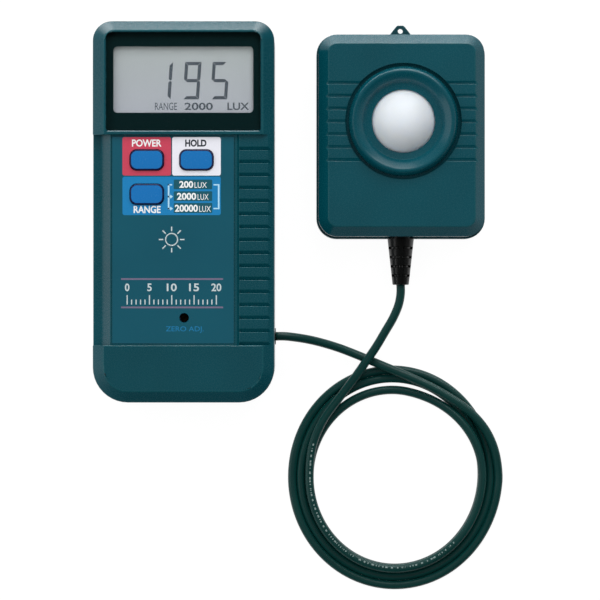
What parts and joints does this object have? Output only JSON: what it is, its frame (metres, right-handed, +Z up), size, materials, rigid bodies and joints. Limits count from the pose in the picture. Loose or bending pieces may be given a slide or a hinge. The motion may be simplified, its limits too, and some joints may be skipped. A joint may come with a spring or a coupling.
{
  "type": "lux meter",
  "caption": "Hand-held lux meter with a display, push keys, a recessed zero trimmer and a battery bay, joined by a coiled cord to a separate light sensor with a white dome.",
  "frame": {"origin": "middle of the meter's back face, on the surface that meter and sensor lie on", "axes": "+X from the meter towards the sensor, +Y towards the display end of the meter, +Z up out of the front"},
  "size_m": [0.1603, 0.2228, 0.036],
  "materials": {
    "case_plastic": "fine matt moulded plastic, teal green",
    "sensor_plastic": "fine matt moulded plastic, teal green",
    "lens_clear": "clear acrylic",
    "mask_print": "dark green print",
    "lcd_grey": "grey-green reflective display",
    "white_plastic": "natural white plastic",
    "contact_rubber": "layered conductive rubber",
    "board_green": "solder mask green laminate",
    "screw_steel": "zinc plated steel",
    "legend_print": "printed teal sheet",
    "red_print": "printed red",
    "white_print": "printed white",
    "blue_print": "printed blue",
    "key_blue": "soft blue plastic",
    "black_plastic": "black plastic",
    "trimmer_blue": "blue moulded plastic",
    "brass_rotor": "turned brass",
    "capacitor_sleeve": "dark blue sleeve",
    "battery_wrap": "dark printed steel can",
    "wire_red": "red insulation",
    "wire_black": "black insulation",
    "wire_grey": "light grey insulation",
    "foam_grey": "soft foam",
    "cord_jacket": "dark green-black jacket",
    "boot_rubber": "black moulded rubber",
    "dome_white": "opal white diffuser",
    "filter_glass": "green correction filter"
  },
  "bodies": {
    "meter": {"front_case": "case_plastic", "rear_case": "case_plastic", "case_screws": "screw_steel", "window_lens": "lens_clear", "display_mask": "mask_print", "lcd_panel": "lcd_grey", "display_holder": "white_plastic", "contact_strips": "contact_rubber", "main_board": "board_green", "board_screws": "screw_steel", "legend_plate": "legend_print", "power_field": "red_print", "hold_field": "white_print", "range_field": "blue_print", "key_switches": "black_plastic", "trimmer_body": "trimmer_blue", "meter_chip": "black_plastic", "board_capacitors": "capacitor_sleeve", "battery": "battery_wrap", "battery_snap": "black_plastic", "red_lead": "wire_red", "black_lead": "wire_black", "battery_pad": "foam_grey", "cord_grommet": "boot_rubber", "cord_tail": "cord_jacket", "signal_leads": "wire_grey", "sensor_front_case": "sensor_plastic", "sensor_rear_case": "sensor_plastic", "sensor_screws": "screw_steel", "dome_ring": "sensor_plastic", "diffuser_dome": "dome_white", "light_filter": "filter_glass", "photodiode": "black_plastic", "sensor_board": "board_green", "sensor_board_screws": "screw_steel", "sensor_leads": "wire_grey", "strain_relief": "boot_rubber", "cord_from_meter": "cord_jacket", "cord_coil": "cord_jacket", "cord_to_sensor": "cord_jacket"},
    "power_key": {"power_button": "key_blue", "power_plunger": "black_plastic"},
    "hold_key": {"hold_button": "key_blue", "hold_plunger": "black_plastic"},
    "range_key": {"range_button": "key_blue", "range_plunger": "black_plastic"},
    "zero_rotor": {"trimmer_rotor": "brass_rotor"},
    "cover": {"battery_cover": "case_plastic"}
  },
  "joints": [
    {"name": "power_press", "type": "slide", "parent": "meter", "child": "power_key", "axis": [0, 0, -1], "range_m": [0, 0.0008], "stiffness_N_per_m": 900, "springref_m": -0.0004},
    {"name": "hold_press", "type": "slide", "parent": "meter", "child": "hold_key", "axis": [0, 0, -1], "range_m": [0, 0.0008], "stiffness_N_per_m": 900, "springref_m": -0.0004},
    {"name": "range_press", "type": "slide", "parent": "meter", "child": "range_key", "axis": [0, 0, -1], "range_m": [0, 0.0008], "stiffness_N_per_m": 900, "springref_m": -0.0004},
    {"name": "zero_turn", "type": "hinge", "parent": "meter", "child": "zero_rotor", "pos_m": [0.0003, -0.0408, 0.03], "axis": [0, 0, 1], "range_deg": [-130, 130]},
    {"name": "cover_slide", "type": "slide", "parent": "meter", "child": "cover", "axis": [0, -1, 0], "range_m": [0, 0.045]}
  ]
}
